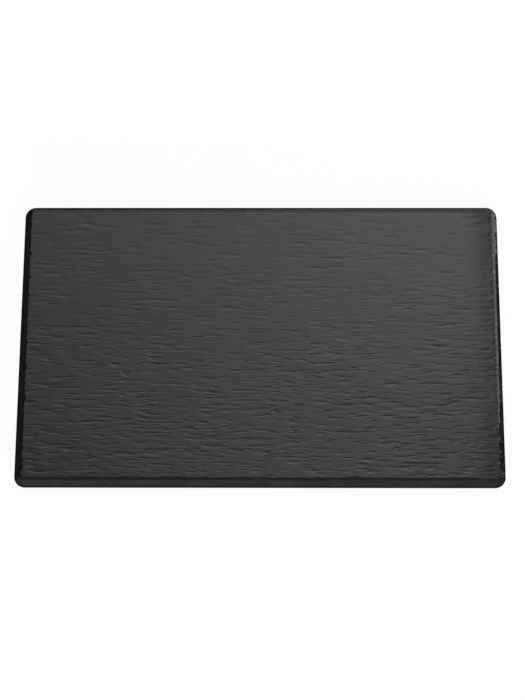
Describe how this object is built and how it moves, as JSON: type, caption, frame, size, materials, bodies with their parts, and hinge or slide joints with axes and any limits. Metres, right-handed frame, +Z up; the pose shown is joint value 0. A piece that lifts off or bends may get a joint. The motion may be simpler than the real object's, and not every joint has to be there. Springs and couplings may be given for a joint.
{
  "type": "serving tray",
  "caption": "Flat rectangular melamine serving tray with a slate-look face, a sloping skirt that is hollow beneath, and push-in anti-slip feet.",
  "frame": {"origin": "centre of the tray on the surface that it stands on", "axes": "+X along the long side to the viewer's right, +Y away from the viewer to the rear, +Z up"},
  "size_m": [0.53, 0.325, 0.015],
  "materials": {
    "melamine": "satin black with a moulded riven-slate relief",
    "silicone": "matt black"
  },
  "bodies": {
    "root": {"tray_shell": "melamine", "foot_front_left": "silicone", "foot_front_right": "silicone", "foot_rear_left": "silicone", "foot_rear_right": "silicone"}
  },
  "joints": []
}
